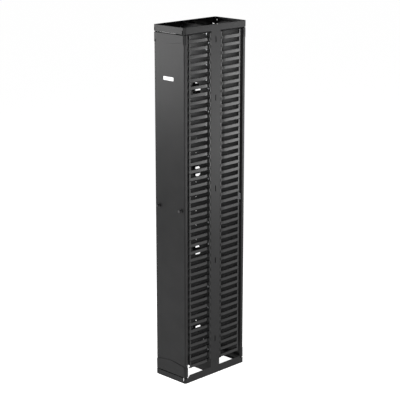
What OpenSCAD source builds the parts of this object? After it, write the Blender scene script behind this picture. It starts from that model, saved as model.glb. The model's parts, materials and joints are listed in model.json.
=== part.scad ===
// Vertical cable manager: an open two-sided column with finger combs on both
// sides, a front and a rear door that latch on hinge pins, and a ring at each end.
// X runs across the width, Y from the front door to the rear door, Z is up.
// The origin is the centre of the footprint, on the floor. Sizes in millimetres.

/* [Overall] */
// Width over the rings and the door caps
overall_w = 254; // [230:1:320]
// Depth from the front cap face to the rear cap face
overall_d = 508; // [480:1:620]
// Finger rows on one comb column, in five modules
finger_rows = 45; // [40:5:50]
// Height of one rack unit, the pitch of the finger rows
unit_h = 44.45; // [44:0.05:48]
// Height of the lowest comb edge above the floor
comb_base_z = 87.4; // [75:0.1:110]
// Height from the highest comb edge to the top of the top ring
head_h = 46.35; // [44:0.05:70]

/* [Rings] */
// Sheet thickness of the rings
ring_t = 2; // [1.5:0.1:3]
// Outside radius of the ring corners
corner_r = 12; // [8:0.5:14]
// Height of the base ring at the sides
base_side_h = 48; // [40:0.5:60]
// Height of the base ring at the doors
base_front_h = 33; // [28:0.5:38]
// Width of the base ring's floor lip
base_lip = 15; // [8:0.5:20]
// Height of the top ring at the sides
top_side_h = 36; // [32:0.5:42]
// Height of the top ring at the doors
top_front_h = 37.5; // [36:0.5:44]
// Width of the top ring's rim
top_lip = 5; // [3:0.5:12]

/* [Columns] */
// Width of a column's outer face
column_w = 77; // [60:1:110]
// Sheet thickness of the columns
column_t = 2; // [1.5:0.1:3]
// Depth of the column flanges
column_flange = 48; // [40:1:60]
// Width of the rack bolt slots
slot_w = 6.5; // [5:0.1:10]
// Length of the rack bolt slots
slot_len = 36; // [20:1:60]
// Heights of the rack bolt slots above the floor
slot_heights = [225, 722, 1166, 1709, 2049]; // [120:1:2060]

/* [Centre panel] */
// Sheet thickness of the centre panel
panel_t = 1.5; // [1:0.1:3]
// Radius of the cable pass-through holes
hole_r = 37.5; // [25:0.5:45]
// Height of the lowest hole centre above the floor
hole_first_z = 282; // [150:1:400]
// Distance between hole centres
hole_pitch = 489.3; // [250:0.1:600]
// Depth of the rolled collar behind each hole
hole_collar = 5; // [2:0.5:10]
// Radius of the small tie holes
tie_r = 2.5; // [1.5:0.1:4]
// Distance of the outer tie holes from the middle
tie_x = 63.5; // [45:0.5:72]
// Distance between tie holes, one above the other
tie_pitch = 88.9; // [40:0.1:200]
// Clearance between the panel and the floor or the top of the ring
panel_end_gap = 8; // [4:0.5:20]
// Shank radius of the panel rivets
rivet_r = 2.4; // [1.5:0.1:3]
// Distance between rivets
rivet_pitch = 88.9; // [60:0.1:200]
// Distance from the column flange's free edge to the rivets
rivet_edge = 9.5; // [7:0.5:16]

/* [Combs] */
// Height of a finger
finger_h = 18; // [14:0.5:28]
// Wall thickness of the moulded combs
comb_wall = 2.5; // [1.5:0.1:3.5]
// Depth of a finger's hollow section, outside to inside
finger_depth = 12; // [8:0.5:16]
// Width of the strip that covers the column edge
strip_w = 9.5; // [8:0.5:16]
// Depth of the screw leg behind the strip
leg_depth = 23; // [21:0.5:30]
// Length of the flat tab that joins a finger to the strip
root_tab = 7; // [4:0.5:12]
// How far the finger dips behind the strip beyond that tab
root_inset = 8.5; // [4:0.5:10]
// Length of the ramp out of that dip
ramp_len = 27; // [15:1:50]
// How far the finger face lies inside the column face, at the ramp's end
face_inset = 3; // [1:0.5:5]
// How far the tip lies inside the column face
tip_inset = 6.5; // [4:0.5:8]
// Width of the upright tip plate
tip_w = 10; // [8:0.5:25]
// Slit between two tip plates, one above the other
tip_slit = 2.5; // [1.5:0.1:8]
// Gap between the tips and the door
tip_door_gap = 20.5; // [15:0.5:30]

/* [Doors] */
// Depth of a door, over its cap
door_d = 24; // [22:0.5:32]
// Wall thickness of the door caps, which stand proud of the panel
cap_t = 3; // [2:0.1:4]
// Sheet thickness of a door panel
door_t = 1.5; // [1:0.1:2]
// Outside radius of the door panel's long edges
door_edge_r = 6; // [3:0.5:10]
// Width of the hem behind the door's long edges
hem_w = 10; // [6:0.5:11]
// Gap between a door cap and its ring
door_gap = 5.5; // [3:0.5:8]
// Height of the upper cap at the middle of its arch
top_cap_mid = 55.5; // [48:0.5:90]
// Height of the upper cap at the ends of its arch
top_cap_end = 39.5; // [30:0.5:47]
// Height of the lower cap at the middle of its arch
base_cap_mid = 79.5; // [72:0.5:110]
// Height of the lower cap at the ends of its arch
base_cap_end = 66.5; // [50:0.5:71]
// Rounding of the arch's peak, the half width that looks flat
peak_round = 18; // [5:1:60]
// Height of the upper cap at the door's corners
top_corner_h = 55; // [48:0.5:70]
// Height of the lower cap at the door's corners
base_corner_h = 58; // [50:0.5:70]
// Width of the straight part of a cap at each corner
cap_corner_w = 14; // [8:0.5:22]

/* [Hinges] */
// Radius of the hinge and latch pins
pin_r = 4; // [3:0.5:5]
// Radial running clearance of pins and spindles
run_fit = 0.08; // [0.02:0.01:0.1]
// Distance of the pin axis from the side face
pin_side = 13; // [12:0.5:16]
// Distance of the pin axis from the front face
pin_face = 11; // [10.5:0.5:12]
// Outside radius of a hinge socket
socket_r = 7; // [6:0.5:8]
// Width of the folded bracket that holds the socket
bracket_w = 22; // [21:0.5:28]
// Height of the ring notch that shows the socket
notch_h = 22; // [16:0.5:24]
// Width of that notch
notch_w = 11; // [6:0.5:12]
// Width of the ring's corner beyond the notch
notch_edge = 7; // [5:0.5:9]
// Gap between a hinge socket and the door cap
socket_gap = 0.3; // [0.2:0.1:1]

/* [Latches] */
// Distance of the knobs from the side face
knob_side = 34.4; // [33:0.1:60]
// Height of the knobs above the floor
knob_z = 1070; // [900:1:1200]
// Radius of a knob
knob_r = 10.5; // [8:0.5:12]
// Length of a knob
knob_len = 16.5; // [12:0.5:25]
// Module of the latch pinion and racks
gear_module = 1.25; // [1:0.05:1.3]
// Teeth on the latch pinion, a multiple of four
gear_teeth = 16; // [12:4:16]
// Thickness of the pinion
gear_t = 6; // [4:0.5:7]
// Thickness of the racks
rack_t = 5; // [3:0.5:6]
// Radius of the latch rods
rod_r = 3; // [2:0.1:3.5]
// Distance between rod guides
guide_pitch = 400; // [200:10:450]

/* [Fasteners] */
// Shank radius of the comb screws
screw_r = 2.5; // [2:0.1:3]
// Shank radius of the frame bolts
bolt_r = 4; // [3:0.5:5]
// Radius of the floor anchor holes
anchor_r = 6.5; // [5:0.5:8]

/* [Hidden] */
$fn = 48;

eps = 0.01;              // overlap of a cutter with the face it cuts
over = 1;                // overshoot of a cutter past an outside face
modules = 5;             // comb modules in one comb column
module_fingers = finger_rows / modules;
half_w = overall_w / 2;
half_d = overall_d / 2;
overall_h = comb_base_z + finger_rows * unit_h + head_h;
column_y = column_w / 2;
side_in = half_w - ring_t;              // inner face of the ring's side wall
flange_x = half_w - column_flange;      // free edge of a column flange
column_base_z = base_side_h;
column_top_z = overall_h - top_side_h;
door_in_y = half_d - door_d;            // inner face of a door
face_y = half_d - cap_t;                // outer face of a door panel
door_half_w = half_w - cap_t;
tip_y = door_in_y - tip_door_gap;       // outer edge of the finger tips
strip_y = column_y + strip_w;           // outer edge of the comb strip
cap_base_z = base_front_h + door_gap;   // lower end of a door
cap_top_z = overall_h - top_front_h - door_gap;
pin_x = half_w - pin_side;
pin_y = half_d - pin_face;
knob_x = half_w - knob_side;
pitch_r = gear_module * gear_teeth / 2;
tooth_p = PI * gear_module;
pin_travel = pitch_r * PI / 2;          // rod stroke for a quarter turn
paint = [0.17, 0.17, 0.18];
plastic = [0.09, 0.09, 0.1];
zinc = [0.62, 0.63, 0.65];

// ---- shared shapes ----

module copy_mirror(axis) {
    children();
    mirror(axis) children();
}

// the rear door and all on it are the front one turned half round
module at_door(rear) rotate([0, 0, rear ? 180 : 0]) children();

// a rectangle from its corners with all four corners rounded
module round_rect(w, d, r) {
    square([w - 2 * r, d], center = true);
    square([w, d - 2 * r], center = true);
    for (x = [-1, 1], y = [-1, 1])
        translate([x * (w / 2 - r), y * (d / 2 - r)]) circle(r);
}

// an outline in X and Z, thickened in Y from y0 to y1
module slab_y(y0, y1) translate([0, y1, 0]) rotate([90, 0, 0])
    linear_extrude(y1 - y0) children();

// an outline in Y and Z, thickened in X from x0 to x1
module slab_x(x0, x1) translate([x0, 0, 0]) rotate([90, 0, 90])
    linear_extrude(x1 - x0) children();

// a round bar or bore along Y
module bar_y(x, z, y0, y1, r) translate([x, y0, z]) rotate([-90, 0, 0]) cylinder(r = r, h = y1 - y0);

// a round bar or bore along Z
module bar_z(x, y, z0, z1, r) translate([x, y, z0]) cylinder(r = r, h = z1 - z0);

// ---- rings ----

shoulder_y = door_in_y - 0.5;           // where the ring steps down below the door

// ring walls standing on z = 0, with the height at the sides and at the doors
module ring(side_h, front_h, lip) {
    tall = max(side_h, front_h);
    slope_y = shoulder_y - abs(side_h - front_h);
    sill_x = half_w - bracket_w;        // the sill ends at the socket's bracket
    difference() {
        linear_extrude(tall) difference() {
            round_rect(overall_w, overall_d, corner_r);
            round_rect(overall_w - 2 * ring_t, overall_d - 2 * ring_t, corner_r - ring_t);
        }
        slab_x(-half_w - over, half_w + over) polygon([
            [-half_d - over, tall + over], [-half_d - over, front_h], [-shoulder_y, front_h],
            [-slope_y, side_h], [slope_y, side_h], [shoulder_y, front_h],
            [half_d + over, front_h], [half_d + over, tall + over]
        ]);
        for (x = [-1, 1], y = [-1, 1])
            scale([x, y, 1])
                translate([half_w - notch_edge - notch_w, half_d - corner_r, front_h - notch_h])
                    cube([notch_w, corner_r + over, notch_h + over]);
    }
    // sill folded in from each low wall, as deep as a door
    for (y = [-1, 1]) scale([1, y, 1]) translate([-sill_x, door_in_y, front_h - ring_t])
        cube([2 * sill_x, half_d - ring_t - door_in_y + eps, ring_t]);
    linear_extrude(ring_t) difference() {
        round_rect(overall_w - ring_t, overall_d - ring_t, corner_r - ring_t / 2);
        square([overall_w - 2 * (ring_t + lip), overall_d - 2 * (ring_t + lip)], center = true);
    }
}

module base_ring() color(paint) ring(base_side_h, base_front_h, base_lip);

module top_ring() color(paint) translate([0, 0, overall_h]) mirror([0, 0, 1])
    ring(top_side_h, top_front_h, top_lip);

// ---- hinge sockets ----

bracket_t = 2;                          // sheet of the socket's bracket
wall_fit = 0.1;                         // gap of a welded plate to the ring wall

// one socket for the base ring, at the corner with both coordinates positive
module hinge_socket(front_h) {
    floor_z = front_h - notch_h;
    difference() {
        bar_z(pin_x, pin_y, floor_z - eps, front_h + door_gap - socket_gap, socket_r);
        bar_z(pin_x, pin_y, floor_z, front_h + door_gap, pin_r + run_fit);
    }
    translate([0, 0, floor_z - bracket_t]) linear_extrude(bracket_t) intersection() {
        round_rect(2 * (side_in - wall_fit), overall_d - 2 * (ring_t + wall_fit),
                   corner_r - ring_t - wall_fit);
        translate([half_w - bracket_w, door_in_y]) square([bracket_w, door_d]);
    }
    // the bracket's upright back, which keeps cables off the pin
    translate([half_w - bracket_w, door_in_y, floor_z - bracket_t])
        cube([bracket_w - ring_t - wall_fit, bracket_t, notch_h + bracket_t]);
}

module hinge_sockets(front_h) color(paint)
    for (turn = [0, 180]) rotate(turn) copy_mirror([1, 0, 0]) hinge_socket(front_h);

module top_hinge_sockets() translate([0, 0, overall_h]) mirror([0, 0, 1]) hinge_sockets(top_front_h);
module base_hinge_sockets() hinge_sockets(base_front_h);

// ---- columns, panel and what joins them ----

bolt_z = 24;                            // height of the frame bolts from either end
angle_w = 26;                           // leg of the joint angles
angle_t = 2.5;                          // thickness of the joint angles
angle_h = 34;                           // height of the joint angles
hole_fit = 0.15;                        // radial gap of fasteners in their holes
bolt_x = side_in - angle_w / 2 - angle_t / 2;
rivet_x = flange_x + rivet_edge;
floor_t = 4;                            // thickness of the floor plates under the columns
column_head_gap = 3;                    // gap of the flanges to the top ring's rim
bend_r = 2.5;                           // outside bend radius of the columns
panel_y = -column_y + column_t;         // front face of the centre panel
first_row = 56;                         // highest rivets and tie holes below the top
first_row_z = overall_h - first_row;
last_row_z = 110;                       // nothing is pierced below this height
slot_edge = 5;                          // least metal beyond a slot's end
rivet_zs = [for (z = first_row_z; z > last_row_z; z = z - rivet_pitch) z];
hole_zs = [for (z = hole_first_z; z < column_top_z - 2 * hole_r; z = z + hole_pitch) z];
tie_zs = [for (z = first_row_z; z > last_row_z; z = z - tie_pitch) z];
slot_zs = [for (z = slot_heights) if (z < column_top_z - slot_len / 2 - slot_edge) z];

// heights of the two comb screws in each module
screw_rows = [1, module_fingers - 2];
screw_zs = [for (m = [0 : modules - 1], row = screw_rows)
    comb_base_z + (m * module_fingers + row) * unit_h + (finger_h + unit_h) / 2];
screw_edge = 9;                         // screws from the leg's free edge
screw_x = half_w - comb_wall - leg_depth + screw_edge;

module column_outline() difference() {
    translate([flange_x, -column_y]) square([column_flange, column_w]);
    translate([flange_x - over, -column_y + column_t])
        square([column_flange - column_t + over, column_w - 2 * column_t]);
    for (y = [-1, 1]) scale([1, y]) difference() {
        translate([half_w - bend_r, column_y - bend_r]) square(bend_r + over);
        translate([half_w - bend_r, column_y - bend_r]) circle(bend_r);
    }
}

module right_column() color(paint) difference() {
    union() {
        translate([0, 0, column_base_z]) linear_extrude(column_top_z - column_base_z)
            column_outline();
        for (y = [-column_y, column_y - column_t])
            translate([flange_x, y, floor_t])
                cube([side_in - flange_x, column_t,
                      overall_h - floor_t - ring_t - column_head_gap]);
    }
    for (z = slot_zs) slab_x(side_in - over, half_w + over) {
        translate([0, z]) square([slot_w, slot_len - slot_w], center = true);
        for (end = [-1, 1]) translate([0, z + end * (slot_len - slot_w) / 2]) circle(slot_w / 2);
    }
    for (z = rivet_zs) bar_y(rivet_x, z, -column_y - over, 0, rivet_r + hole_fit);
    for (z = screw_zs) bar_y(screw_x, z, -column_y - over, column_y + over, screw_r + hole_fit);
    for (z = [bolt_z, overall_h - bolt_z])
        bar_y(bolt_x, z, -column_y - over, column_y + over, bolt_r + hole_fit);
}

module left_column() mirror([1, 0, 0]) right_column();

module centre_panel() color(paint) {
    gap = 0.3;                          // side gap of the panel to the column walls
    clear_w = angle_w + 2 * angle_t;    // panel corner cut away for the joint angles
    clear_h = bolt_z + angle_h;
    tie_clear = hole_r + 4 * tie_r;     // middle tie holes keep this far from a big hole
    difference() {
        slab_y(panel_y, panel_y + panel_t) translate([-side_in + gap, panel_end_gap])
            square([2 * (side_in - gap), overall_h - 2 * panel_end_gap]);
        for (z = hole_zs) bar_y(0, z, panel_y - over, panel_y + panel_t + over, hole_r);
        for (x = [-1, 1], z = rivet_zs)
            bar_y(x * rivet_x, z, panel_y - over, panel_y + panel_t + over, rivet_r + hole_fit);
        for (x = [-1, 1], z = screw_zs)
            bar_y(x * screw_x, z, panel_y - over, panel_y + panel_t + over, screw_r + hole_fit);
        for (z = tie_zs, x = [-tie_x, 0, tie_x])
            if (x != 0 || min([for (h = hole_zs) abs(z - h)]) > tie_clear)
                bar_y(x, z, panel_y - over, panel_y + panel_t + over, tie_r);
        for (x = [-1, 1], z = [0, overall_h - clear_h]) scale([x, 1, 1])
            translate([side_in - clear_w, panel_y - over, z])
                cube([clear_w + over, panel_t + 2 * over, clear_h]);
    }
    for (z = hole_zs) difference() {
        bar_y(0, z, panel_y + panel_t - eps, panel_y + panel_t + hole_collar, hole_r + panel_t);
        bar_y(0, z, panel_y - over, panel_y + panel_t + hole_collar + over, hole_r);
    }
}

// one angle inside a column end, joining ring wall and column flange
module joint_angle() difference() {
    union() {
        translate([side_in - angle_w, column_y - column_t - angle_t, bolt_z - angle_h / 2])
            cube([angle_w, angle_t, angle_h]);
        translate([side_in - angle_t, column_y - column_t - angle_w, bolt_z - angle_h / 2])
            cube([angle_t, angle_w, angle_h]);
    }
    bar_y(bolt_x, bolt_z, 0, column_y, bolt_r + hole_fit);
}

module at_frame_corners() for (top = [0, 1], x = [0, 1], y = [0, 1])
    translate([0, 0, top * overall_h]) mirror([0, 0, top]) mirror([x, 0, 0]) mirror([0, y, 0])
        children();

module joint_angles() color(zinc) at_frame_corners() joint_angle();

hex_r = 1.8 * bolt_r;                   // corner radius of the bolt heads and nuts
hex_h = 0.9 * bolt_r;                   // height of a bolt head
nut_h = bolt_r;
thread_end = 2;                         // thread that shows past a nut

// hexagon head outside the flange, nut inside the angle
module joint_bolt() {
    in_y = column_y - column_t - angle_t;
    bar_y(bolt_x, bolt_z, in_y - nut_h - thread_end, column_y + eps, bolt_r);
    translate([bolt_x, column_y, bolt_z]) rotate([-90, 0, 0])
        cylinder(r = hex_r, h = hex_h, $fn = 6);
    translate([bolt_x, in_y, bolt_z]) rotate([90, 0, 0]) cylinder(r = hex_r, h = nut_h, $fn = 6);
}

module joint_bolts() color(zinc) at_frame_corners() joint_bolt();

anchor_in = 22;                         // anchor hole centre, in from the ring wall
anchor_x = side_in - anchor_in;

module floor_plates() color(paint) for (x = [0, 1]) mirror([x, 0, 0]) difference() {
    translate([flange_x, -column_y, 0]) cube([side_in - base_lip - flange_x, column_w, floor_t]);
    bar_z(anchor_x, 0, -over, floor_t + over, anchor_r);
}

rivet_head_r = 1.8 * rivet_r;
rivet_head_h = 1.4;
rivet_tail_r = 1.4 * rivet_r;           // the set end behind the panel
rivet_tail_h = 1.6;

module rivet() {
    back_y = panel_y + panel_t;
    bar_y(rivet_x, 0, -column_y - eps, back_y + rivet_tail_h / 2, rivet_r);
    bar_y(rivet_x, 0, -column_y - rivet_head_h, -column_y, rivet_head_r);
    bar_y(rivet_x, 0, back_y, back_y + rivet_tail_h, rivet_tail_r);
}

module panel_rivets() color(zinc) for (x = [0, 1]) mirror([x, 0, 0])
    for (z = rivet_zs) translate([0, 0, z]) rivet();

// ---- combs ----
// One comb is drawn for the rear right quarter, where both coordinates are positive.

leg_y = column_y + comb_wall;           // outer face of the screw leg
ramp_y = strip_y + root_tab;            // where the dip ends and the ramp starts
face_y_in = ramp_y + ramp_len;          // where the ramp reaches the finger's face
face_x = half_w - face_inset;
tip_x = half_w - tip_inset;
root_x = half_w - root_inset;
back_x = root_x - finger_depth;         // open back of a finger at its root
leg_x = half_w - comb_wall - leg_depth; // free edge of the screw leg
comb_gap = 0.2;                         // gap at each end of a comb module

// finger skin seen from above, from the strip to the tip, w inside its outer face
function finger_skin(w) = [
    [half_w - w, leg_y - (w > 0 ? 0 : eps)], [half_w - w, ramp_y - w], [root_x - w, ramp_y - w],
    [face_x - w, face_y_in], [tip_x - w, tip_y - tip_w], [tip_x - w, tip_y]
];

// finger and upright tip seen from the side, w inside their edges
module finger_side(w) polygon([
    [leg_y - eps, w], [tip_y - w, w], [tip_y - w, unit_h - tip_slit - w],
    [tip_y - tip_w + w, unit_h - tip_slit - w], [tip_y - tip_w + w, finger_h - w],
    [leg_y - eps, finger_h - w]
]);

// finger open at the back, with its upright tip; its lower edge lies on z = 0
module finger() {
    far = back_x - over;
    difference() {
        intersection() {
            linear_extrude(unit_h) polygon(concat(finger_skin(0), [
                [tip_x - finger_depth, tip_y], [tip_x - finger_depth, tip_y - tip_w],
                [face_x - finger_depth, face_y_in], [back_x, ramp_y], [back_x, leg_y - eps]
            ]));
            slab_x(far, half_w + over) finger_side(0);
        }
        intersection() {
            linear_extrude(unit_h) polygon(concat(finger_skin(comb_wall), [
                [tip_x - comb_wall, tip_y + over], [far, tip_y + over], [far, leg_y]
            ]));
            slab_x(far - over, half_w) {
                finger_side(comb_wall);
                translate([tip_y - tip_w, comb_wall])
                    square([tip_w + over, finger_h - 2 * comb_wall]);
            }
        }
    }
}

// five modules stand on each other; part counts them from the bottom
module comb(part) {
    rows = module_fingers;
    color(plastic) translate([0, 0, comb_base_z + part * rows * unit_h + comb_gap]) {
        difference() {
            linear_extrude(rows * unit_h - 2 * comb_gap) {
                translate([half_w - comb_wall, column_y]) square([comb_wall, strip_w]);
                translate([leg_x, column_y]) square([leg_depth + eps, comb_wall]);
            }
            for (row = screw_rows)
                bar_y(screw_x, row * unit_h + (finger_h + unit_h) / 2 - comb_gap, column_y - over,
                      leg_y + over, screw_r + hole_fit);
        }
        for (row = [0 : rows - 1]) translate([0, 0, row * unit_h]) finger();
    }
}

screw_len = 8;                          // thread behind the column's flange
screw_head_r = 1.9 * screw_r;
screw_head_h = 3;

module comb_screw() {
    bar_y(screw_x, 0, column_y - screw_len, leg_y + eps, screw_r);
    bar_y(screw_x, 0, leg_y, leg_y + screw_head_h, screw_head_r);
}

module comb_screws() color(zinc) for (x = [0, 1], y = [0, 1]) mirror([x, 0, 0]) mirror([0, y, 0])
    for (z = screw_zs) translate([0, 0, z]) comb_screw();

// ---- doors ----
// A door is drawn as the front one, with its face towards -Y.

module door_panel() {
    z0 = cap_base_z + cap_t;
    z1 = cap_top_z - cap_t;
    in_y = -door_in_y;
    color(paint) difference() {
        translate([0, 0, z0]) linear_extrude(z1 - z0) difference() {
            union() {
                translate([-door_half_w, -face_y + door_edge_r])
                    square([2 * door_half_w, face_y - door_edge_r - door_in_y]);
                translate([-door_half_w + door_edge_r, -face_y])
                    square([2 * (door_half_w - door_edge_r), door_edge_r + over]);
                for (x = [-1, 1])
                    translate([x * (door_half_w - door_edge_r), -face_y + door_edge_r])
                        circle(door_edge_r);
            }
            translate([-door_half_w + door_t, -face_y + door_edge_r])
                square([2 * (door_half_w - door_t), face_y - door_edge_r - door_in_y - door_t]);
            translate([-door_half_w + door_edge_r, -face_y + door_t])
                square([2 * (door_half_w - door_edge_r), door_edge_r + over]);
            for (x = [-1, 1])
                translate([x * (door_half_w - door_edge_r), -face_y + door_edge_r])
                    circle(door_edge_r - door_t);
            translate([-door_half_w + hem_w, in_y - 2 * door_t])
                square([2 * (door_half_w - hem_w), 3 * door_t]);
        }
        for (x = [-1, 1])
            bar_y(x * knob_x, knob_z, -face_y - over, -face_y + door_t + over, bush_r + bush_fit);
    }
}

// two straight slopes with a round peak between them
function peak_drop(x) = sqrt(x * x + peak_round * peak_round) - peak_round;

// Cap drawn upside up for the lower end: z = 0 is the door's end, the arch is above.
// mid, end and corner are its heights at the middle, at the arch's ends and at the sides.
module door_cap(mid, end, corner) {
    arch_w = half_w - cap_corner_w;
    steps = 24;
    tall = max(mid, corner);
    difference() {
        linear_extrude(tall) difference() {
            union() {
                translate([-half_w, -half_d + corner_r]) square([overall_w, door_d - corner_r]);
                translate([-half_w + corner_r, -half_d]) square([overall_w - 2 * corner_r, door_d]);
                for (x = [-1, 1]) translate([x * (half_w - corner_r), -half_d + corner_r])
                    circle(corner_r);
            }
            // room for the sheet panel, with its rounded edges
            translate([-door_half_w, -face_y + door_edge_r])
                square([2 * door_half_w, face_y - door_edge_r - door_in_y + over]);
            translate([-door_half_w + door_edge_r, -face_y])
                square([2 * (door_half_w - door_edge_r), door_edge_r + over]);
            for (x = [-1, 1])
                translate([x * (door_half_w - door_edge_r), -face_y + door_edge_r])
                    circle(door_edge_r);
        }
        slab_y(-half_d - over, -door_in_y + over) polygon(concat(
            [[-half_w - over, tall + over], [-half_w - over, corner], [-arch_w, corner]],
            [for (i = [0 : steps]) let (x = -arch_w + 2 * arch_w * i / steps)
                [x, mid - (mid - end) * peak_drop(x) / peak_drop(arch_w)]],
            [[arch_w, corner], [half_w + over, corner], [half_w + over, tall + over]]));
    }
    // end plate with the two pin guides
    difference() {
        linear_extrude(cap_t) difference() {
            union() {
                translate([-door_half_w - eps, -face_y + door_edge_r])
                    square([2 * (door_half_w + eps), face_y - door_edge_r - door_in_y]);
                translate([-door_half_w + door_edge_r, -face_y - eps])
                    square([2 * (door_half_w - door_edge_r), door_edge_r + over]);
                for (x = [-1, 1])
                    translate([x * (door_half_w - door_edge_r), -face_y + door_edge_r])
                        circle(door_edge_r + eps);
            }
            for (x = [-1, 1]) translate([x * pin_x, -pin_y]) circle(pin_r + run_fit);
        }
    }
}

module door_base_cap() color(paint) translate([0, 0, cap_base_z])
    door_cap(base_cap_mid, base_cap_end, base_corner_h);

module door_top_cap() color(paint) translate([0, 0, cap_top_z]) mirror([0, 0, 1])
    door_cap(top_cap_mid, top_cap_end, top_corner_h);

// ---- latches ----
// Each knob turns a pinion between two racks; one rod runs up, the other down.

gear_y = -pin_y;                        // middle of the racks, in line with the pins
case_t = 2;                             // sheet of the latch case
case_gap = 1.6;                         // gap between the pinion and the case's back
case_y = gear_y + gear_t / 2 + case_gap;
bush_r = 6.4;                           // outside radius of a knob bush
bush_fit = 0.1;                         // gap of a bush in the door panel
bush_flange = 1.5;                      // thickness of the bush flange
bush_flange_w = 2.5;                    // width of that flange
bush_end = 1;                           // how far a bush stands out behind the sheet
knob_gap = 0.3;                         // gap between a knob and its bush
spindle_r = 4;                          // radius of the knob spindle
spindle_shoulder = 2;                   // width of the shoulder behind the pinion
spindle_end = case_y + case_t + 1;
knob_end = 6;                           // material of a knob beyond its spindle
rack_land = 1.5;                        // metal behind a rack's teeth
rack_back = 2.5 * gear_module + rack_land;
rack_fit = 0.2;                         // gap behind a rack
backlash = 0.16;                        // gap between tooth flanks
pressure = 20;                          // pressure angle of the teeth
addendum = gear_module;
dedendum = 1.25 * gear_module;
jog_h = 12;                             // height of the plate that joins rack and rod
jog_gap = 6;                            // distance of the lower jog past the pinion
jog_clear = 1.5;                        // distance of the upper jog past the case
case_end = 8;                           // height of the case past the pinion
case_half = pitch_r + addendum + case_end;
rack_up = 2.5 * tooth_p;                // teeth past the pinion centre, either way
pin_spare = 12;                         // pin left in its guide when thrown
pin_point = 1;                          // chamfer of a pin's end

base_r = pitch_r * cos(pressure);
function inv(a) = tan(a) * 180 / PI - a;
function flank(r) = 90 / gear_teeth - backlash / pitch_r * 45 / PI + inv(pressure)
    - inv(acos(min(1, base_r / r)));

module pinion_outline() {
    root_r = pitch_r - dedendum;
    tip_r = pitch_r + addendum;
    radii = [base_r, (base_r + pitch_r) / 2, pitch_r, (pitch_r + tip_r) / 2, tip_r];
    polygon([for (k = [0 : gear_teeth - 1]) let (a = 360 * k / gear_teeth) each concat(
        [root_r * [cos(a - flank(base_r)), sin(a - flank(base_r))]],
        [for (r = radii) r * [cos(a - flank(r)), sin(a - flank(r))]],
        [for (i = [4 : -1 : 0]) let (r = radii[i]) r * [cos(a + flank(r)), sin(a + flank(r))]],
        [root_r * [cos(a + flank(base_r)), sin(a + flank(base_r))]])]);
}

// knob spindle with its pinion, drawn on the door's right side
module pinion() color(zinc) {
    bar_y(0, 0, -face_y - bush_flange - knob_len + knob_end, spindle_end, spindle_r);
    slab_y(gear_y - gear_t / 2, gear_y + gear_t / 2) pinion_outline();
    bar_y(0, 0, gear_y + gear_t / 2 - eps, case_y - rack_fit, spindle_r + spindle_shoulder);
}

knob_skirt_h = 3;                       // height of the knob's wide foot
knob_skirt_w = 1.5;                     // how far that foot stands out
knob_edge = 2;                          // chamfer of the knob's end
flute_r = 2;                            // radius of the grip flutes
flutes = 8;
flute_z = 5;                            // where the flutes start
knob_fit = 0.02;                        // gap of a knob on its spindle

module knob() color(plastic) translate([0, -face_y - bush_flange - knob_gap, 0])
    rotate([90, 0, 0]) difference() {
        grip_r = knob_r - knob_skirt_w;
        union() {
            cylinder(r = knob_r, h = knob_skirt_h);
            cylinder(r = grip_r, h = knob_len - knob_edge);
            translate([0, 0, knob_len - knob_edge - eps])
                cylinder(r1 = grip_r, r2 = grip_r - knob_edge, h = knob_edge);
        }
        translate([0, 0, -over])
            cylinder(r = spindle_r + knob_fit, h = knob_len - knob_end + over + knob_gap);
        for (i = [0 : flutes - 1]) rotate(i * 360 / flutes) translate([knob_r, 0, flute_z])
            cylinder(r = flute_r, h = knob_len);
    }

module knob_bush() color(plastic) difference() {
    union() {
        bar_y(0, 0, -face_y - bush_flange, -face_y, bush_r + bush_flange_w);
        bar_y(0, 0, -face_y - eps, -face_y + door_t + bush_end, bush_r);
    }
    bar_y(0, 0, -face_y - over - bush_flange, -face_y + door_t + bush_end + over,
          spindle_r + run_fit);
}

// back plate and two cheeks that hold the spindle and guide the racks
module latch_case() color(zinc) {
    half = pitch_r + rack_back + rack_fit;
    tall = 2 * case_half;
    difference() {
        union() {
            slab_y(case_y, case_y + case_t) square([2 * (half + case_t), tall], center = true);
            for (x = [-1, 1]) slab_y(-face_y + door_t, case_y + eps)
                translate([x * (half + case_t / 2), 0]) square([case_t, tall], center = true);
        }
        bar_y(0, 0, case_y - over, case_y + case_t + over, spindle_r + run_fit);
    }
}

// rack outline: pitch line on x = 0, teeth towards -X, a gap centred on z = 0
module rack_outline(z0, z1) {
    half_tooth = tooth_p / 4 - backlash / 4;
    slope = tan(pressure);
    first = ceil(z0 / tooth_p);
    last = floor(z1 / tooth_p) - 1;
    polygon(concat(
        [[rack_back, z0], [rack_back, z1], [dedendum, z1]],
        [for (k = [last : -1 : first]) let (c = (k + 0.5) * tooth_p) each [
            [dedendum, c + half_tooth + dedendum * slope],
            [-addendum, c + half_tooth - addendum * slope],
            [-addendum, c - half_tooth + addendum * slope],
            [dedendum, c - half_tooth - dedendum * slope]]],
        [[dedendum, z0]]));
}

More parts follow.
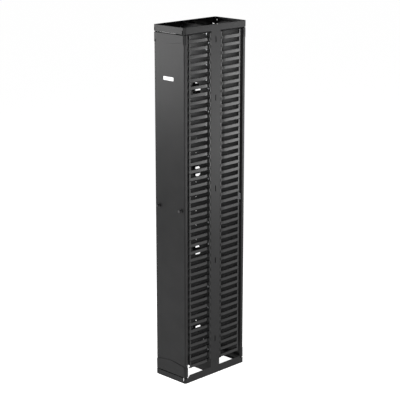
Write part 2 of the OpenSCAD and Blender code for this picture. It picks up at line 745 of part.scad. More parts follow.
// Rod of the right side, drawn in its thrown position. up picks the outer rack,
// whose rod runs up; the other rod hangs from the inner rack. reach is the pin's tip.
module latch_rod(up, reach, stroke) color(zinc) {
    side = up ? 1 : -1;
    offset_x = pin_x - knob_x;
    jog_z = pin_travel + (up ? case_half + jog_clear : rack_up + pitch_r + addendum + jog_gap);
    rack_end = jog_z + jog_h / 2;
    tip = side * (reach - knob_z);
    pin_len = 2 * pin_travel + pin_spare;
    translate([knob_x, 0, knob_z + side * stroke]) scale([1, 1, side]) {
        translate([side * pitch_r, 0, 0]) slab_y(gear_y - rack_t / 2, gear_y + rack_t / 2)
            scale([side, 1]) rack_outline(-rack_up, rack_end);
        slab_y(gear_y - rack_t / 2, gear_y + rack_t / 2)
            translate([side * (pitch_r + dedendum), jog_z])
                square([offset_x + rod_r - side * (pitch_r + dedendum), jog_h]);
        bar_z(offset_x, gear_y, jog_z + jog_h - eps, tip - pin_len + eps, rod_r);
        bar_z(offset_x, gear_y, tip - pin_len, tip - pin_point, pin_r);
        translate([offset_x, gear_y, tip - pin_point - eps])
            cylinder(r1 = pin_r, r2 = pin_r - pin_point, h = pin_point);
    }
}

guide_start = 250;                      // first guides from the knob
guide_stop = 150;                       // guides end this far from the door's ends
guide_w = 14;
guide_h = 12;
guide_wall = 1.5;                       // guide wall behind a rod
guide_ease = 0.2;                       // play beside the door's rounded edge
guide_bevel = guide_w / 2 + pin_x - door_half_w + door_edge_r + guide_ease;
guide_zs = concat([for (z = knob_z + guide_start; z < cap_top_z - guide_stop; z = z + guide_pitch) z],
                  [for (z = knob_z - guide_start; z > cap_base_z + guide_stop; z = z - guide_pitch) z]);

// block on the door's sheet, with its outer foot bevelled to clear the rounded edge
module rod_guide() {
    foot_y = -face_y + door_t;
    head_y = -pin_y + rod_r + guide_wall;
    linear_extrude(guide_h) polygon([
        [pin_x - guide_w / 2, foot_y],
        [pin_x + guide_w / 2 - guide_bevel, foot_y],
        [pin_x + guide_w / 2, foot_y + guide_bevel],
        [pin_x + guide_w / 2, head_y],
        [pin_x - guide_w / 2, head_y]]);
}

module rod_guides() color(plastic) for (x = [-1, 1], z = guide_zs) difference() {
    translate([0, 0, z - guide_h / 2]) scale([x, 1, 1]) rod_guide();
    bar_z(x * pin_x, -pin_y, z - guide_h, z + guide_h, rod_r + run_fit);
}

throw_gap = 0.1;                        // pin tip below the cap when drawn back
top_reach = cap_top_z - throw_gap + pin_travel;
base_reach = cap_base_z + throw_gap - pin_travel;

// left is the hinge side: its pins rest thrown; the right side's rest drawn back
module side_rod(rear, left, up) at_door(rear) mirror([left ? 1 : 0, 0, 0])
    latch_rod(up, up ? top_reach : base_reach, left ? 0 : -pin_travel);

module side_knob(rear, left) at_door(rear) translate([left ? -knob_x : knob_x, 0, knob_z]) knob();
module side_pinion(rear, left) at_door(rear) translate([left ? -knob_x : knob_x, 0, knob_z]) pinion();
module two_sides() for (x = [-1, 1]) translate([x * knob_x, 0, knob_z]) children();

module quarter_comb(front, left, part) mirror([left ? 1 : 0, 0, 0]) mirror([0, front ? 1 : 0, 0])
    comb(part);

base_ring();
top_ring();
left_column();
right_column();
centre_panel();
for (part = [0 : modules - 1]) {
    quarter_comb(true, true, part);
    quarter_comb(true, false, part);
    quarter_comb(false, true, part);
    quarter_comb(false, false, part);
}
top_hinge_sockets();
base_hinge_sockets();
joint_angles();
joint_bolts();
floor_plates();
comb_screws();
panel_rivets();
door_panel();  // front_door_panel
door_top_cap();  // front_door_top_cap
door_base_cap();  // front_door_base_cap
at_door(true) door_panel();  // rear_door_panel
at_door(true) door_top_cap();  // rear_door_top_cap
at_door(true) door_base_cap();  // rear_door_base_cap
two_sides() latch_case();  // front_latch_cases
at_door(true) two_sides() latch_case();  // rear_latch_cases
rod_guides();  // front_rod_guides
at_door(true) rod_guides();  // rear_rod_guides
two_sides() knob_bush();  // front_knob_bushes
at_door(true) two_sides() knob_bush();  // rear_knob_bushes
side_knob(false, true);  // front_left_knob
side_knob(false, false);  // front_right_knob
side_knob(true, true);  // rear_left_knob
side_knob(true, false);  // rear_right_knob
side_pinion(false, true);  // front_left_pinion
side_pinion(false, false);  // front_right_pinion
side_pinion(true, true);  // rear_left_pinion
side_pinion(true, false);  // rear_right_pinion
side_rod(false, true, true);  // front_left_upper_rod
side_rod(false, true, false);  // front_left_lower_rod
side_rod(false, false, true);  // front_right_upper_rod
side_rod(false, false, false);  // front_right_lower_rod
side_rod(true, true, true);  // rear_left_upper_rod
side_rod(true, true, false);  // rear_left_lower_rod
side_rod(true, false, true);  // rear_right_upper_rod
side_rod(true, false, false);  // rear_right_lower_rod
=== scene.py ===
import json
import math

import bmesh
import bpy
from mathutils import Matrix, Vector


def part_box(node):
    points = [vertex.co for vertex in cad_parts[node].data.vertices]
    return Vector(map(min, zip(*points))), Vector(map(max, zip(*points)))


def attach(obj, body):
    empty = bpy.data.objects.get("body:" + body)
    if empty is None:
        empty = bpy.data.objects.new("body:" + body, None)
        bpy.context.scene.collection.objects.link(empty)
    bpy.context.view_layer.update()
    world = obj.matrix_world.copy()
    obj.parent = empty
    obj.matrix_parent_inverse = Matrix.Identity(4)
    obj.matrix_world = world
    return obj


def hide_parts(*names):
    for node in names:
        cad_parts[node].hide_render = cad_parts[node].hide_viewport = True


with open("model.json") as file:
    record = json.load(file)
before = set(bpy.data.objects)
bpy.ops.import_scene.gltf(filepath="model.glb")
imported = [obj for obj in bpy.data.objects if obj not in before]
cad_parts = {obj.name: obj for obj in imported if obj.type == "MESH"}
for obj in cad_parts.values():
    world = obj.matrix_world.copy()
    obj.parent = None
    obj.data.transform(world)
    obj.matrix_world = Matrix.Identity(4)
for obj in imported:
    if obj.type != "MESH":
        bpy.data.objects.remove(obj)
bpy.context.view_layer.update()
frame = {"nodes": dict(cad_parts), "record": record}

nodes = frame["nodes"]
mm = 0.001


# studio

studio = {
    "cameraPlace": (5.4206, -5.4232, 3.1254),
    "cameraTurn": (75.0, 0.0, 45.0),  # degrees: 15 below the horizon, from the right front corner
    "lens": 119.5,
    "sensor": 36.0,
    "viewReach": 200.0,  # farthest distance the camera sees
    "floorSize": 60.0,
    "floorColor": (0.9, 0.9, 0.9),
    "floorShade": (0.88, 0.88, 0.88),  # darker tone of its faint clouds
    "floorRoughness": 0.9,
    "floorCloudScale": 0.4,
    "floorCloudDetail": 2.0,
    "floorGlow": 0.94,  # evens the floor out to a plain white
    "skyLight": 0.06,  # what the surroundings give to the surfaces
    "backdrop": (1.0, 1.0, 1.0),  # what the camera sees behind the object
    "lamps": [
        # name, place, width and height, watts, aimed at
        ("doorLamp", (-2.2, -2.3, 2.0), (1.4, 1.8), 90.0, (0.0, -0.2, 1.7)),
        ("sideLamp", (1.95, 2.4, 1.2), (0.7, 1.5), 43.0, (0.1, 0.1, 1.6)),
        ("lowLamp", (2.35, 1.8, 0.45), (0.8, 0.5), 5.5, (0.1, -0.1, 1.2)),
        ("cornerLamp", (2.1, -2.1, 1.45), (2.8, 1.2), 62.0, (0.1, -0.2, 1.5)),
    ],
}


def makeWorld():
    world = bpy.data.worlds.new("softStudio")
    bpy.context.scene.world = world
    world.use_nodes = True
    tree = world.node_tree
    tree.nodes.clear()
    out = tree.nodes.new("ShaderNodeOutputWorld")
    mix = tree.nodes.new("ShaderNodeMixShader")
    rays = tree.nodes.new("ShaderNodeLightPath")
    sky = tree.nodes.new("ShaderNodeBackground")
    sky.inputs["Color"].default_value = (1.0, 1.0, 1.0, 1.0)
    sky.inputs["Strength"].default_value = studio["skyLight"]
    back = tree.nodes.new("ShaderNodeBackground")
    back.inputs["Color"].default_value = (*studio["backdrop"], 1.0)
    tree.links.new(rays.outputs["Is Camera Ray"], mix.inputs["Fac"])
    tree.links.new(sky.outputs["Background"], mix.inputs[1])
    tree.links.new(back.outputs["Background"], mix.inputs[2])
    tree.links.new(mix.outputs["Shader"], out.inputs["Surface"])


def makeCamera():
    data = bpy.data.cameras.new("camera")
    data.lens = studio["lens"]
    data.sensor_width = studio["sensor"]
    data.clip_end = studio["viewReach"]
    camera = bpy.data.objects.new("camera", data)
    camera.location = studio["cameraPlace"]
    camera.rotation_euler = [math.radians(a) for a in studio["cameraTurn"]]
    bpy.context.scene.collection.objects.link(camera)
    bpy.context.scene.camera = camera


def makeLamps():
    for name, place, size, watts, aim in studio["lamps"]:
        data = bpy.data.lights.new(name, "AREA")
        data.shape = "RECTANGLE"
        data.size, data.size_y = size
        data.energy = watts
        lamp = bpy.data.objects.new(name, data)
        lamp.location = place
        lamp.rotation_euler = (Vector(aim) - Vector(place)).to_track_quat("-Z", "Y").to_euler()
        lamp.visible_camera = False
        bpy.context.scene.collection.objects.link(lamp)


def makeFloor():
    bm = bmesh.new()
    bmesh.ops.create_grid(bm, x_segments=2, y_segments=2, size=studio["floorSize"] / 2)
    floor = addObject("studioFloor", bm)
    floor.data.materials.append(floorPaint())


def addObject(name, bm):
    mesh = bpy.data.meshes.new(name)
    bm.to_mesh(mesh)
    bm.free()
    made = bpy.data.objects.new(name, mesh)
    bpy.context.scene.collection.objects.link(made)
    return made


# finishes

noiseLow, noiseHigh = 0.3, 0.7  # the span in which nearly all noise values lie

finishValues = {
    "powderCoat": {
        "base": (0.009, 0.009, 0.0093), "dark": (0.0075, 0.0075, 0.0078),
        "light": (0.0105, 0.0105, 0.0108), "specular": 0.15, "roughness": 0.4,
        "tintScale": 9.0, "tintDetail": 4.0, "grainScale": 900.0, "grainDetail": 3.0,
        "smoothest": 0.36, "roughest": 0.44, "bump": 0.2, "bumpHeight": 0.1 * mm,
    },
    "combPlastic": {
        "base": (0.012, 0.012, 0.0123), "dark": (0.0105, 0.0105, 0.0108),
        "light": (0.0135, 0.0135, 0.0138), "specular": 0.21, "roughness": 0.3,
        "tintScale": 14.0, "tintDetail": 3.0, "grainScale": 700.0, "grainDetail": 2.0,
        "smoothest": 0.26, "roughest": 0.34, "bump": 0.08, "bumpHeight": 0.05 * mm,
    },
    "knobPlastic": {
        "base": (0.016, 0.016, 0.017), "dark": (0.014, 0.014, 0.015),
        "light": (0.018, 0.018, 0.019), "roughness": 0.45,
        "tintScale": 60.0, "tintDetail": 2.0, "grainScale": 1200.0, "grainDetail": 2.0,
        "smoothest": 0.4, "roughest": 0.5, "bump": 0.2, "bumpHeight": 0.06 * mm,
    },
    "bushPlastic": {
        "base": (0.02, 0.02, 0.021), "dark": (0.018, 0.018, 0.019),
        "light": (0.023, 0.023, 0.024), "roughness": 0.4,
        "tintScale": 40.0, "tintDetail": 2.0, "grainScale": 800.0, "grainDetail": 2.0,
        "smoothest": 0.35, "roughest": 0.45,
    },
    "platePaint": {
        "base": (0.8, 0.8, 0.81), "dark": (0.77, 0.77, 0.78),
        "light": (0.83, 0.83, 0.84), "roughness": 0.35,
        "tintScale": 120.0, "tintDetail": 2.0, "grainScale": 900.0, "grainDetail": 2.0,
        "smoothest": 0.3, "roughest": 0.4,
    },
    "zincPlate": {
        "base": (0.56, 0.57, 0.59), "dark": (0.46, 0.47, 0.5),
        "light": (0.63, 0.64, 0.65), "metallic": 1.0, "roughness": 0.34,
        "tintScale": 70.0, "tintDetail": 5.0, "grainScale": 420.0, "grainDetail": 3.0,
        "smoothest": 0.28, "roughest": 0.42, "bump": 0.15, "bumpHeight": 0.05 * mm,
    },
    # painted shade: a near black zinc for the hardware inside the frame, standing in for the shade
    # there
    "paintedShadeZinc": {
        "base": (0.05, 0.05, 0.052), "dark": (0.04, 0.04, 0.042),
        "light": (0.06, 0.06, 0.062), "metallic": 0.6, "roughness": 0.45,
        "tintScale": 70.0, "tintDetail": 4.0, "grainScale": 420.0, "grainDetail": 3.0,
        "smoothest": 0.4, "roughest": 0.52, "bump": 0.12, "bumpHeight": 0.05 * mm,
    },
}


def startFinish(name, baseColor, roughness):
    made = bpy.data.materials.new(name)
    made.use_nodes = True
    shader = made.node_tree.nodes["Principled BSDF"]
    shader.inputs["Base Color"].default_value = (*baseColor, 1.0)
    shader.inputs["Roughness"].default_value = roughness
    return made, made.node_tree, shader


def objectNoise(tree, scale, detail):
    place = tree.nodes.new("ShaderNodeTexCoord")
    noise = tree.nodes.new("ShaderNodeTexNoise")
    noise.inputs["Scale"].default_value = scale
    noise.inputs["Detail"].default_value = detail
    tree.links.new(place.outputs["Object"], noise.inputs["Vector"])
    return noise


def addBump(tree, shader, noise, strength, height):
    bump = tree.nodes.new("ShaderNodeBump")
    bump.inputs["Strength"].default_value = strength
    bump.inputs["Distance"].default_value = height
    tree.links.new(noise.outputs["Fac"], bump.inputs["Height"])
    tree.links.new(bump.outputs["Normal"], shader.inputs["Normal"])


def addTint(tree, shader, noise, dark, light):
    ramp = tree.nodes.new("ShaderNodeValToRGB")
    first, last = ramp.color_ramp.elements
    first.position, last.position = noiseLow, noiseHigh
    first.color, last.color = (*dark, 1.0), (*light, 1.0)
    tree.links.new(noise.outputs["Fac"], ramp.inputs["Fac"])
    tree.links.new(ramp.outputs["Color"], shader.inputs["Base Color"])


def addRoughness(tree, shader, noise, low, high):
    reach = tree.nodes.new("ShaderNodeMapRange")
    reach.inputs["From Min"].default_value = noiseLow
    reach.inputs["From Max"].default_value = noiseHigh
    reach.inputs["To Min"].default_value = low
    reach.inputs["To Max"].default_value = high
    tree.links.new(noise.outputs["Fac"], reach.inputs["Value"])
    tree.links.new(reach.outputs["Result"], shader.inputs["Roughness"])


def floorPaint():
    s = studio
    made, tree, shader = startFinish("studioFloorPaint", s["floorColor"], s["floorRoughness"])
    clouds = objectNoise(tree, s["floorCloudScale"], s["floorCloudDetail"])
    addTint(tree, shader, clouds, s["floorShade"], s["floorColor"])
    shader.inputs["Emission Color"].default_value = (1.0, 1.0, 1.0, 1.0)
    shader.inputs["Emission Strength"].default_value = s["floorGlow"]
    return made


def makeFinish(name):
    v = finishValues[name]
    made, tree, shader = startFinish(name, v["base"], v["roughness"])
    if "metallic" in v:
        shader.inputs["Metallic"].default_value = v["metallic"]
    if "specular" in v:
        shader.inputs["Specular IOR Level"].default_value = v["specular"]
    addTint(tree, shader, objectNoise(tree, v["tintScale"], v["tintDetail"]), v["dark"], v["light"])
    grain = objectNoise(tree, v["grainScale"], v["grainDetail"])
    addRoughness(tree, shader, grain, v["smoothest"], v["roughest"])
    if "bump" in v:
        addBump(tree, shader, grain, v["bump"], v["bumpHeight"])
    return made


finishes = {
    "powder_steel": makeFinish("powderCoat"),
    "comb_plastic": makeFinish("combPlastic"),
    "knob_plastic": makeFinish("knobPlastic"),
    "bush_plastic": makeFinish("bushPlastic"),
    "zinc_steel": makeFinish("zincPlate"),
}
paintedShadeParts = ("joint_", "_rod")  # zinc hardware inside the frame darkened as painted shade, standing in for the shade there


def dressNodes():
    paintedShadeFinish = makeFinish("paintedShadeZinc")
    for part in frame["record"]["subparts"]:
        made = nodes[part["node"]]
        made.data.materials.clear()
        slot = part["material_slot"]
        # the hardware inside the frame gets the near black zinc as painted shade
        getsPaintedShade = slot == "zinc_steel" and any(word in part["node"] for word in paintedShadeParts)
        made.data.materials.append(paintedShadeFinish if getsPaintedShade else finishes[slot])


dressNodes()
print("finishes on the packed nodes")


# modelling helpers

cutReach = 1e-7  # corners this near a cut lie on it
same = 1e-6  # corners closer than this are one
near = 1e-5  # places closer than this are level
roundAngle = math.radians(30.0)  # sharper edges are rounded
shadeAngle = math.radians(50.0)  # sharper edges are shaded hard
edgeSteps = 2
holeSteps = 24
facingFront = Matrix.Rotation(math.pi / 2, 4, "X")  # stands a flat outline up in a door's plane


def newVerts(grown):
    return [v for v in grown["geom"] if isinstance(v, bmesh.types.BMVert)]


def middleOf(part):
    return sum((v.co for v in part.verts), Vector()) / len(part.verts)


def freeEdges(bm, test):
    return [e for e in bm.edges if e.is_boundary and test(middleOf(e))]


def cutAlong(bm, place, normal):
    bmesh.ops.bisect_plane(bm, geom=bm.verts[:] + bm.edges[:] + bm.faces[:],
                           dist=cutReach, plane_co=place, plane_no=normal)


def drawPath(bm, points, closed=False):
    # a chain of edges on z = 0
    line = [bm.verts.new((x, y, 0.0)) for x, y in points]
    for pair in zip(line, line[1:] + line[:1] if closed else line[1:]):
        bm.edges.new(pair)


def raiseEdges(bm, height, test=None):
    # extrudes the highest free edges up to a height
    top = max(v.co.z for v in bm.verts)
    edges = [e for e in bm.edges if min(v.co.z for v in e.verts) > top - same]
    if test:
        edges = [e for e in edges if test(middleOf(e))]
    grown = newVerts(bmesh.ops.extrude_edge_only(bm, edges=edges))
    for v in grown:
        v.co.z = height
    return grown


def foldEdges(bm, edges, move):
    # extrudes free edges into a flange; move gives each new corner its place
    for v in newVerts(bmesh.ops.extrude_edge_only(bm, edges=edges)):
        v.co = move(v.co.copy())


def isUpright(edge):
    return abs(edge.verts[0].co.z - edge.verts[1].co.z) > same


def roundFolds(bm, radius, segments, test):
    folds = [e for e in bm.edges if e.is_manifold and isUpright(e) and test(middleOf(e))]
    bmesh.ops.bevel(bm, geom=folds, affect="EDGES", offset=radius, segments=segments, profile=0.5,
                    material=-1)


def roundSharp(bm, width):
    sharp = [e for e in bm.edges if e.is_manifold and e.calc_face_angle() > roundAngle]
    bmesh.ops.bevel(bm, geom=sharp, affect="EDGES", offset=width, segments=edgeSteps,
                    profile=0.5, material=-1, clamp_overlap=True)


def thicken(bm, wall):
    bmesh.ops.remove_doubles(bm, verts=bm.verts, dist=same)
    bmesh.ops.recalc_face_normals(bm, faces=bm.faces)
    bmesh.ops.solidify(bm, geom=bm.faces[:], thickness=wall)
    bmesh.ops.recalc_face_normals(bm, faces=bm.faces)


def turned(bm, kx, ky, kz=1, shift=(0.0, 0.0, 0.0)):
    bmesh.ops.transform(bm, matrix=Matrix.Translation(shift) @ Matrix.Diagonal((kx, ky, kz, 1.0)),
                        verts=bm.verts)
    if kx * ky * kz < 0:
        bmesh.ops.reverse_faces(bm, faces=bm.faces)


def takeIn(bm, other):
    mesh = bpy.data.meshes.new("passing")
    other.to_mesh(mesh)
    other.free()
    bm.from_mesh(mesh)
    bpy.data.meshes.remove(mesh)


def finishPiece(name, bm, slot, body, *replaced):
    made = addObject(name, bm)
    made.data.materials.append(finishes[slot])
    made.data.shade_smooth()
    made.data.set_sharp_from_angle(angle=shadeAngle)
    even = made.modifiers.new("evenNormals", "WEIGHTED_NORMAL")
    even.keep_sharp = True
    if replaced:
        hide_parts(*replaced)
    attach(made, body)
    return made


# combs

comb = {
    "rows": 9,  # fingers on one module
    "modules": 5,  # modules on one comb column
    "pitch": 44.45 * mm,
    "wall": 2.5 * mm,
    "fingerHeight": 18.0 * mm,
    "fingerDepth": 12.0 * mm,
    "stripWidth": 9.5 * mm,
    "rootTab": 7.0 * mm,  # flat tab beside the strip
    "rootInset": 8.5 * mm,  # the dip beyond the tab
    "rootDraft": 0.8 * mm,  # slant of the step into the dip
    "rampLength": 27.0 * mm,
    "faceInset": 3.0 * mm,
    "tipInset": 6.5 * mm,
    "tipWidth": 10.0 * mm,
    "tipSlit": 2.5 * mm,
    "moduleGap": 0.2 * mm,
    "edgeRound": 0.5 * mm,
}


def makeFinger(sideX, columnY, tipY):
    # a bent skin in plan, raised, given its tip plate, rim and wall
    c = comb
    legY = columnY + c["wall"]
    rampY = columnY + c["stripWidth"] + c["rootTab"]
    neckY = tipY - c["tipWidth"]
    backX = sideX - c["rootInset"] - c["fingerDepth"]
    bm = bmesh.new()
    drawPath(bm, [(sideX, legY), (sideX, rampY - c["rootDraft"]),
                  (sideX - c["rootInset"], rampY + c["rootDraft"]),
                  (sideX - c["faceInset"], rampY + c["rampLength"]),
                  (sideX - c["tipInset"], neckY), (sideX - c["tipInset"], tipY)])
    raiseEdges(bm, c["fingerHeight"])
    raiseEdges(bm, c["pitch"] - c["tipSlit"], lambda p: p.y > neckY)
    rim = freeEdges(bm, lambda p: p.y > legY + near
                    and (p.y < tipY - near or p.z > c["fingerHeight"]))
    foldEdges(bm, rim, lambda p: Vector((max(p.x - c["fingerDepth"], backX) if p.y > rampY + mm
                                         else backX, p.y, p.z)))
    thicken(bm, c["wall"])
    roundSharp(bm, c["edgeRound"])
    return bm


def makeComb(low, high, base, part):
    # one module for the rear right quarter; low and high are the comb's corners in plan
    c = comb
    z0 = base + part * c["rows"] * c["pitch"] + c["moduleGap"]
    bm = makeFinger(high.x, low.y, high.y)
    finger = bm.verts[:] + bm.edges[:] + bm.faces[:]
    for row in range(1, c["rows"]):
        copied = newVerts(bmesh.ops.duplicate(bm, geom=finger))
        bmesh.ops.translate(bm, verts=copied, vec=(0.0, 0.0, row * c["pitch"]))
    strip = bmesh.new()
    drawPath(strip, [(low.x, low.y), (high.x, low.y), (high.x, low.y + c["stripWidth"])])
    raiseEdges(strip, c["rows"] * c["pitch"] - 2 * c["moduleGap"])
    thicken(strip, c["wall"])
    roundSharp(strip, c["edgeRound"])
    takeIn(bm, strip)
    bmesh.ops.translate(bm, verts=bm.verts, vec=(0.0, 0.0, z0))
    return bm


def makeCombs():
    low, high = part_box("rear_right_comb_1")
    base = low.z - comb["moduleGap"]
    for part in range(comb["modules"]):
        for end, ky in (("front", -1), ("rear", 1)):
            for side, kx in (("left", -1), ("right", 1)):
                bm = makeComb(low, high, base, part)
                turned(bm, kx, ky)
                number = str(part + 1)
                finishPiece(end + side.title() + "Comb" + number, bm, "comb_plastic", "frame",
                            end + "_" + side + "_comb_" + number)


makeCombs()
print("combs made")


# rings at both ends of the frame

ring = {
    "wall": 2.0 * mm,
    "cornerRadius": 12.0 * mm,
    "cornerSteps": 8,
    "baseLip": 15.0 * mm,
    "topLip": 5.0 * mm,
    "doorDepth": 24.0 * mm,
    "notchWidth": 11.0 * mm,
    "notchHeight": 22.0 * mm,
    "notchEdge": 7.0 * mm,  # corner left standing beyond the notch
    "bracketWidth": 22.0 * mm,
    "baseFrontHeight": 33.0 * mm,
    "topFrontHeight": 37.5 * mm,
    "baseSideHeight": 48.0 * mm,
    "topSideHeight": 36.0 * mm,
    "shoulderGap": 0.5 * mm,
    "hemStart": 41.0 * mm,  # sloping hem under the top ring's sides, measured from the middle
    "hemEnd": 225.0 * mm,
    "hemWidth": 12.0 * mm,
    "hemDrop": 9.5 * mm,
    "upstand": 20.0 * mm,  # edge folded up along the inside of the top ring's ends
    "edgeRound": 0.5 * mm,
}


def makeRing(name, node, heights, lip, up):
    # drawn standing on z = 0; the top ring is turned over; heights are those of sides and ends
    r = ring
    sideHeight, frontHeight = heights
    low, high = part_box(node)
    notchX = high.x - r["notchEdge"]
    postX = notchX - r["notchWidth"]
    sillX = high.x - r["bracketWidth"]
    sillY = high.y - r["doorDepth"]
    shoulder = sillY - r["shoulderGap"]
    slope = shoulder - abs(sideHeight - frontHeight)
    bm = bmesh.new()
    drawPath(bm, [(-high.x, -high.y), (high.x, -high.y), (high.x, high.y), (-high.x, high.y)], True)
    raiseEdges(bm, frontHeight - r["notchHeight"])
    roundFolds(bm, r["cornerRadius"], r["cornerSteps"], lambda p: True)
    for sign in (-1, 1):
        for x in (notchX, postX, sillX):
            cutAlong(bm, (sign * x, 0.0, 0.0), (1.0, 0.0, 0.0))
        for y in (shoulder, slope):
            cutAlong(bm, (0.0, sign * y, 0.0), (0.0, 1.0, 0.0))
    beside = lambda p: not postX < abs(p.x) < notchX or abs(p.y) < sillY  # clear of the notches
    for v in raiseEdges(bm, frontHeight, beside):
        if abs(v.co.y) < slope + near:
            v.co.z = sideHeight
    if up < 0:
        for sign in (-1, 1):
            cutAlong(bm, (0.0, sign * r["hemStart"], 0.0), (0.0, 1.0, 0.0))
            cutAlong(bm, (0.0, sign * r["hemEnd"], 0.0), (0.0, 1.0, 0.0))
        hem = freeEdges(bm, lambda p: p.z > sideHeight - near
                        and r["hemStart"] < abs(p.y) < r["hemEnd"])
        foldEdges(bm, hem, lambda p: Vector((math.copysign(abs(p.x) - r["hemWidth"], p.x), p.y,
                                             p.z + r["hemDrop"])))
    sills = freeEdges(bm, lambda p: p.z > frontHeight - near
                      and abs(p.x) < sillX and abs(p.y) > sillY)
    foldEdges(bm, sills, lambda p: Vector((p.x, math.copysign(sillY, p.y), p.z)))
    if up < 0:
        inner = freeEdges(bm, lambda p: abs(abs(p.y) - sillY) < near and abs(p.x) < sillX)
        foldEdges(bm, inner, lambda p: Vector((p.x, p.y, p.z - r["upstand"])))
    foot = freeEdges(bm, lambda p: p.z < near)
    foldEdges(bm, foot, lambda p: Vector((max(lip - high.x, min(high.x - lip, p.x)),
                                          max(lip - high.y, min(high.y - lip, p.y)), 0.0)))
    thicken(bm, r["wall"])
    roundSharp(bm, r["edgeRound"])
    turned(bm, 1, 1, up, (0.0, 0.0, low.z if up > 0 else high.z))
    finishPiece(name, bm, "powder_steel", "frame", node)


def makeRings():
    r = ring
    makeRing("baseRing", "base_ring", (r["baseSideHeight"], r["baseFrontHeight"]), r["baseLip"], 1)
    makeRing("topRing", "top_ring", (r["topSideHeight"], r["topFrontHeight"]), r["topLip"], -1)


makeRings()
print("rings made")


# doors: a folded sheet with a shaped cap over each end

door = {
    "depth": 24.0 * mm,
    "capWall": 3.0 * mm,
    "sheet": 1.5 * mm,
    "edgeRadius": 6.0 * mm,
    "hem": 10.0 * mm,
    "foldSteps": 6,
    "cornerRadius": 12.0 * mm,
    "cornerSteps": 8,
    "cornerWidth": 14.0 * mm,  # straight part of a cap at each corner
    "peakRound": 18.0 * mm,
    "topMiddle": 55.5 * mm,
    "topEnd": 39.5 * mm,
    "topCorner": 55.0 * mm,
    "baseMiddle": 79.5 * mm,
    "baseEnd": 66.5 * mm,
    "baseCorner": 58.0 * mm,
    "pinRadius": 4.08 * mm,
    "pinSide": 13.0 * mm,
    "pinFace": 11.0 * mm,
    "bushRadius": 6.5 * mm,
    "capEdge": 0.7 * mm,
    "sheetEdge": 0.4 * mm,
    "archSteps": 32,
}


def peakDrop(x):
    return math.hypot(x, door["peakRound"]) - door["peakRound"]


def makeCap(name, node, body, heights, up, turn):
    # drawn for the front door, standing on z = 0 with its arch above; heights are the arch's
    # at its middle and its ends, and that of the corners
    d = door
    low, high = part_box(node)
    halfX = high.x
    outY = -max(abs(low.y), abs(high.y))
    inY = outY + d["depth"]
    archX = halfX - d["cornerWidth"]
    middle, end, corner = heights
    band = min(end, corner)
    bm = bmesh.new()
    drawPath(bm, [(-halfX, inY), (-halfX, outY), (halfX, outY), (halfX, inY)])
    raiseEdges(bm, band)
    roundFolds(bm, d["cornerRadius"], d["cornerSteps"], lambda p: True)
    for step in range(d["archSteps"] + 1):
        cutAlong(bm, (-archX + 2 * archX * step / d["archSteps"], 0.0, 0.0), (1.0, 0.0, 0.0))
    rim = freeEdges(bm, lambda p: p.z > band - same)
    arch = [e for e in rim if abs(middleOf(e).x) < archX]
    for v in newVerts(bmesh.ops.extrude_edge_only(bm, edges=arch)):
        v.co.z = middle - (middle - end) * peakDrop(v.co.x) / peakDrop(archX)
    if corner > band:
        posts = [e for e in rim if e not in arch]
        for v in newVerts(bmesh.ops.extrude_edge_only(bm, edges=posts)):
            v.co.z = corner
    thicken(bm, d["capWall"])
    roundSharp(bm, d["capEdge"])
    # the end plate, with holes for the two pins
    wall = d["capWall"]
    lid = bmesh.new()
    drawPath(lid, [(-halfX + wall, inY), (-halfX + wall, outY + wall), (halfX - wall, outY + wall),
                   (halfX - wall, inY)], True)
    for side in (-1, 1):
        pinPlace = Matrix.Translation((side * (halfX - d["pinSide"]), outY + d["pinFace"], 0.0))
        bmesh.ops.create_circle(lid, cap_ends=False, radius=d["pinRadius"], segments=holeSteps,
                                matrix=pinPlace)
    bmesh.ops.triangle_fill(lid, edges=lid.edges[:], use_beauty=True)
    grown = newVerts(bmesh.ops.extrude_face_region(lid, geom=lid.faces[:]))
    bmesh.ops.translate(lid, verts=grown, vec=(0.0, 0.0, wall))
    bmesh.ops.recalc_face_normals(lid, faces=lid.faces)
    outer = [e for e in lid.edges if abs(e.verts[0].co.z - e.verts[1].co.z) > mm
             and middleOf(e).y < outY + 2 * wall and abs(middleOf(e).x) > halfX - 2 * wall]
    bmesh.ops.bevel(lid, geom=outer, affect="EDGES", offset=d["cornerRadius"] - wall,
                    segments=d["foldSteps"], profile=0.5, material=-1)
    takeIn(bm, lid)
    turned(bm, turn, turn, up, (0.0, 0.0, low.z if up > 0 else high.z))
    finishPiece(name, bm, "powder_steel", body, node)


def makePanel(name, node, body, knobs, turn):
    d = door
    low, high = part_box(node)
    halfX = high.x
    outY = -max(abs(low.y), abs(high.y))
    inY = outY + d["depth"] - d["capWall"]
    bm = bmesh.new()
    drawPath(bm, [(-halfX + d["hem"], inY), (-halfX, inY), (-halfX, outY),
                  (halfX, outY), (halfX, inY), (halfX - d["hem"], inY)])
    raiseEdges(bm, high.z - low.z)
    roundFolds(bm, d["edgeRadius"], d["foldSteps"], lambda p: p.y < outY + mm)
    face = [f for f in bm.faces if abs(middleOf(f).x) < mm and middleOf(f).y < outY + mm]
    edges = list(face[0].edges)
    bmesh.ops.delete(bm, geom=face, context="FACES_ONLY")
    for x, z in knobs:
        bushPlace = Matrix.Translation((x, outY, z - low.z)) @ facingFront
        made = bmesh.ops.create_circle(bm, cap_ends=False, radius=d["bushRadius"],
                                       segments=holeSteps, matrix=bushPlace)
        edges += list({e for v in made["verts"] for e in v.link_edges})
    bmesh.ops.triangle_fill(bm, edges=edges, use_beauty=True)
    thicken(bm, d["sheet"])
    roundSharp(bm, d["sheetEdge"])
    turned(bm, turn, turn, 1, (0.0, 0.0, low.z))
    finishPiece(name, bm, "powder_steel", body, node)


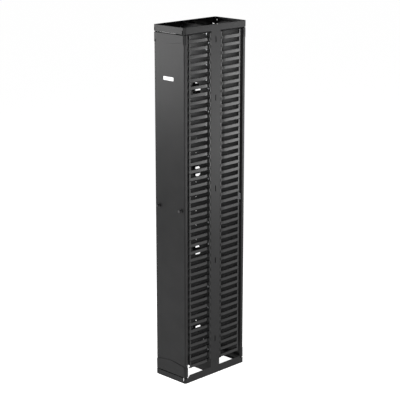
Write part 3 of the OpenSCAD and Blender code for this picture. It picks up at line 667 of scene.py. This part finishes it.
def makeDoors():
    d = door
    topHeights = (d["topMiddle"], d["topEnd"], d["topCorner"])
    baseHeights = (d["baseMiddle"], d["baseEnd"], d["baseCorner"])
    for end, turn in (("front", 1), ("rear", -1)):
        body = end + "_door"
        knobs = []
        for side in ("left", "right"):
            low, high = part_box(end + "_" + side + "_knob")
            knobs.append((turn * (low.x + high.x) / 2, (low.z + high.z) / 2))
        makePanel(end + "DoorPanel", body + "_panel", body, knobs, turn)
        makeCap(end + "DoorTopCap", body + "_top_cap", body, topHeights, -1, turn)
        makeCap(end + "DoorBaseCap", body + "_base_cap", body, baseHeights, 1, turn)


makeDoors()
print("doors made")


# knobs

knob = {
    "flutes": 8,
    "fluteRadius": 2.0 * mm,
    "fluteStart": 5.0 * mm,
    "fluteRise": 1.0 * mm,
    "skirtHeight": 3.0 * mm,
    "skirtWidth": 1.5 * mm,
    "edge": 1.2 * mm,
    "edgeShrink": 0.93,  # the grip's end is drawn in to this share
    "dish": 0.4 * mm,
    "dishWidth": 3.0 * mm,
    "steps": 96,
}


def makeKnob(name, node, body, outward):
    # a disc raised into a skirt, drawn in and raised again, with flutes pressed into the grip
    k = knob
    low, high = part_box(node)
    radius = (high.x - low.x) / 2
    length = high.y - low.y
    bm = bmesh.new()
    bmesh.ops.create_circle(bm, cap_ends=True, radius=radius, segments=k["steps"])

    def raiseEnd(step):
        end = max(bm.faces, key=lambda f: middleOf(f).z)
        grown = newVerts(bmesh.ops.extrude_face_region(bm, geom=[end]))
        if end.calc_center_median().z > 0:
            bmesh.ops.delete(bm, geom=[end], context="FACES_ONLY")
        bmesh.ops.translate(bm, verts=grown, vec=(0.0, 0.0, step))
        return grown

    def insetEnd(width, depth=0.0):
        end = max(bm.faces, key=lambda f: middleOf(f).z)
        bmesh.ops.inset_region(bm, faces=[end], thickness=width, depth=depth, use_even_offset=True)

    raiseEnd(k["skirtHeight"])
    insetEnd(k["skirtWidth"])
    raiseEnd(k["fluteStart"] - k["skirtHeight"])
    for v in raiseEnd(k["fluteRise"]):
        turn = math.atan2(v.co.y, v.co.x) * k["flutes"] / (2 * math.pi)
        side = radius * ((turn + 0.5) % 1.0 - 0.5) * 2 * math.pi / k["flutes"]
        if abs(side) < k["fluteRadius"]:
            reach = radius - math.sqrt(k["fluteRadius"] ** 2 - side ** 2)
            flat = Vector((v.co.x, v.co.y)).normalized() * min(reach, radius - k["skirtWidth"])
            v.co.x, v.co.y = flat
    raiseEnd(length - k["fluteStart"] - k["fluteRise"] - k["edge"])
    for v in raiseEnd(k["edge"]):
        v.co.x *= k["edgeShrink"]
        v.co.y *= k["edgeShrink"]
    insetEnd(k["dishWidth"])
    insetEnd(k["dish"], -k["dish"])
    bmesh.ops.recalc_face_normals(bm, faces=bm.faces)
    if bm.calc_volume(signed=True) < 0:
        bmesh.ops.reverse_faces(bm, faces=bm.faces)
    middle = (low + high) / 2
    toward = Matrix.Rotation(-outward * math.pi / 2, 4, "X")
    start = low.y if outward > 0 else high.y
    bmesh.ops.transform(bm, matrix=Matrix.Translation((middle.x, start, middle.z)) @ toward,
                        verts=bm.verts)
    finishPiece(name, bm, "knob_plastic", body, node)


def makeKnobs():
    for end, outward in (("front", -1), ("rear", 1)):
        for side in ("left", "right"):
            stem = end + "_" + side
            makeKnob(end + side.title() + "Knob", stem + "_knob", stem + "_latch_knob", outward)


makeKnobs()
print("knobs made")


# a blank plate where the front door carries its badge

plate = {
    "middleX": -6.0 * mm,
    "middleZ": 1834.0 * mm,
    "width": 82.0 * mm,
    "height": 21.0 * mm,
    "thick": 0.8 * mm,
    "corner": 3.0 * mm,
    "cornerSteps": 5,
    "edge": 0.25 * mm,
}


def makePlate():
    p = plate
    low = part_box("front_door_panel")[0]
    bm = bmesh.new()
    bmesh.ops.create_grid(bm, x_segments=1, y_segments=1, size=0.5,
                          matrix=Matrix.Diagonal((p["width"], p["height"], 1.0, 1.0)))
    bmesh.ops.bevel(bm, geom=bm.verts[:], affect="VERTICES", offset=p["corner"],
                    segments=p["cornerSteps"], profile=0.5, material=-1)
    grown = newVerts(bmesh.ops.extrude_face_region(bm, geom=bm.faces[:]))
    bmesh.ops.translate(bm, verts=grown, vec=(0.0, 0.0, p["thick"]))
    bmesh.ops.recalc_face_normals(bm, faces=bm.faces)
    roundSharp(bm, p["edge"])
    place = Matrix.Translation((p["middleX"], low.y, p["middleZ"])) @ facingFront
    bmesh.ops.transform(bm, matrix=place, verts=bm.verts)
    made = finishPiece("blankPlate", bm, "zinc_steel", "front_door")
    made.data.materials.clear()
    made.data.materials.append(makeFinish("platePaint"))


makePlate()
print("plate made")


makeWorld()
makeCamera()
makeLamps()
makeFloor()
print("studio ready")

bpy.context.scene.view_settings.view_transform = "Standard"  # keeps the white a plain white
